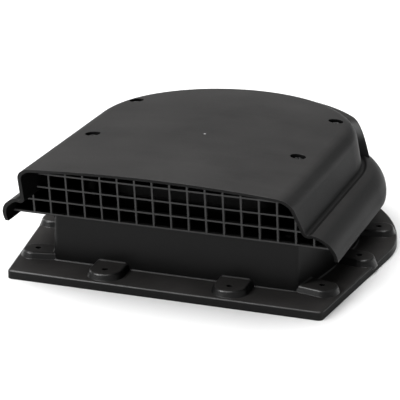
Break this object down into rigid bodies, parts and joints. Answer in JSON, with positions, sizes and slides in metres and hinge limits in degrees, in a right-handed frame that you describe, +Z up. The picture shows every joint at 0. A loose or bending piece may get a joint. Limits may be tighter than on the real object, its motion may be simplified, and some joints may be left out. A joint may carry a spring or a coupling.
{
  "type": "roof vent cover",
  "caption": "Low D-shaped roof ventilation hood on a flanged upstand, with a grille mouth at the front and screw pads round the flange.",
  "frame": {"origin": "centre of the cover's footprint (its bounding box) at the flange's underside", "axes": "+Z up, away from the roof; -Y is the grille's side, which faces down the roof slope; +X to the right seen from the front"},
  "size_m": [0.3112, 0.3291, 0.1124],
  "materials": {
    "hood_plastic": "fine-grained charcoal moulding",
    "base_plastic": "smooth charcoal moulding",
    "tray_plastic": "smooth charcoal moulding",
    "grille_plastic": "satin charcoal moulding",
    "screen_frame_plastic": "satin black moulding",
    "screen_mesh": "woven stainless wire",
    "hood_screw_metal": "dark coated steel",
    "tray_screw_metal": "zinc-plated steel"
  },
  "bodies": {
    "root": {"base_flange": "base_plastic", "upper_tray": "tray_plastic", "tray_screws": "tray_screw_metal", "insect_screen": "screen_mesh", "screen_frame": "screen_frame_plastic", "front_grille": "grille_plastic", "hood_shell": "hood_plastic", "hood_screws": "hood_screw_metal"}
  },
  "joints": []
}
